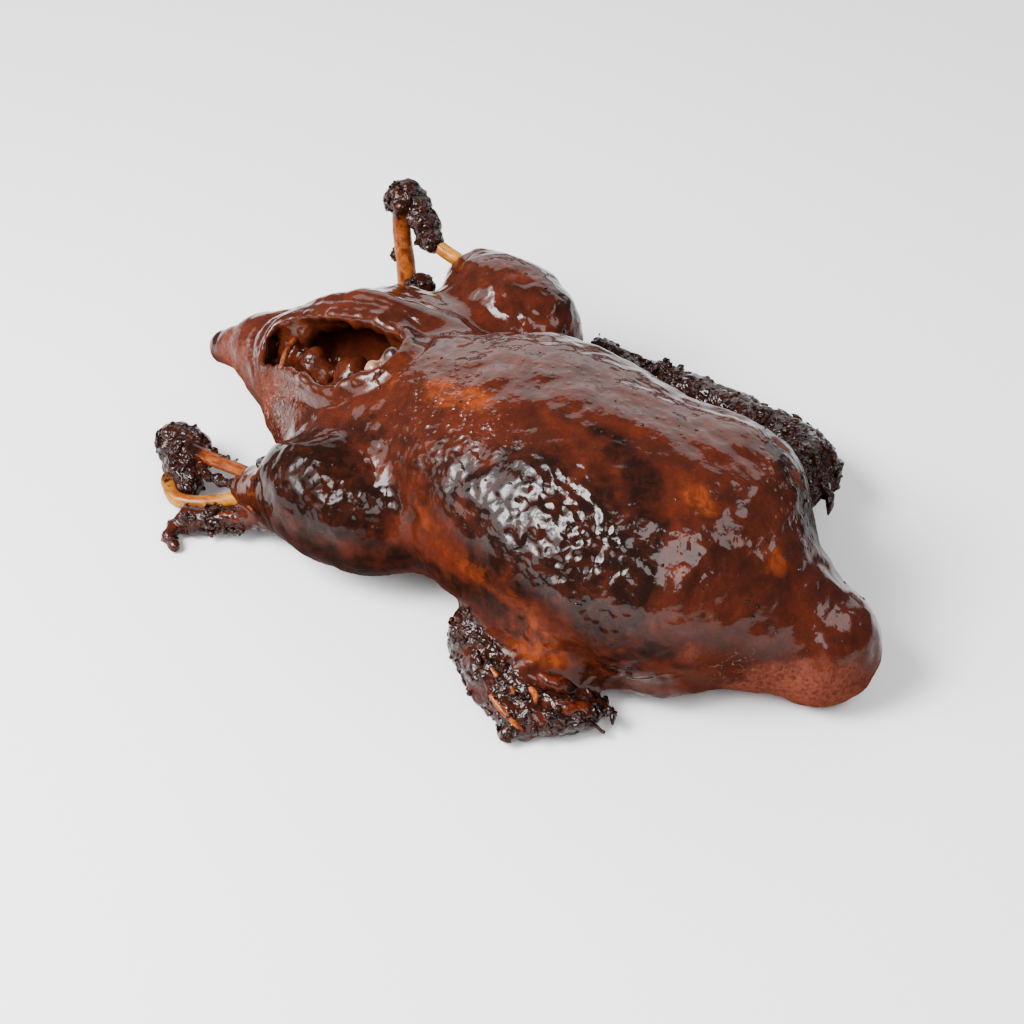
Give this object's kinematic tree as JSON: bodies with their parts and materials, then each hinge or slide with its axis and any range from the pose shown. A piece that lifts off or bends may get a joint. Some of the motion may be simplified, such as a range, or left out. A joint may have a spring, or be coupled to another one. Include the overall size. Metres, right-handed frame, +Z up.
{
  "type": "braised whole duck",
  "caption": "Whole braised duck lying on its back, open at the vent, with glazed dark skin, bare leg bones with burnt hocks, and spread wings.",
  "frame": {"origin": "on the flat resting face under the breast, at the middle of the bird's length", "axes": "+X from the tail to the neck stump, -Y towards the bird's left side, +Z up"},
  "size_m": [0.3424, 0.2188, 0.0984],
  "materials": {
    "skin": "glazed mahogany brown skin, very glossy",
    "bone": "amber bone, wet with sauce",
    "shank": "orange-brown bone, wet with sauce",
    "burnt": "burnt, grainy and glossy",
    "cartilage": "pinkish white gristle, wet"
  },
  "bodies": {
    "root": {"duck": "skin", "tibia_left": "bone", "tarsus_left": "shank", "tibia_right": "bone", "tarsus_right": "shank", "pubic_bone": "bone", "keel_cartilage": "cartilage", "hock_left": "burnt", "hock_right": "burnt", "foot_right": "burnt"}
  },
  "joints": []
}
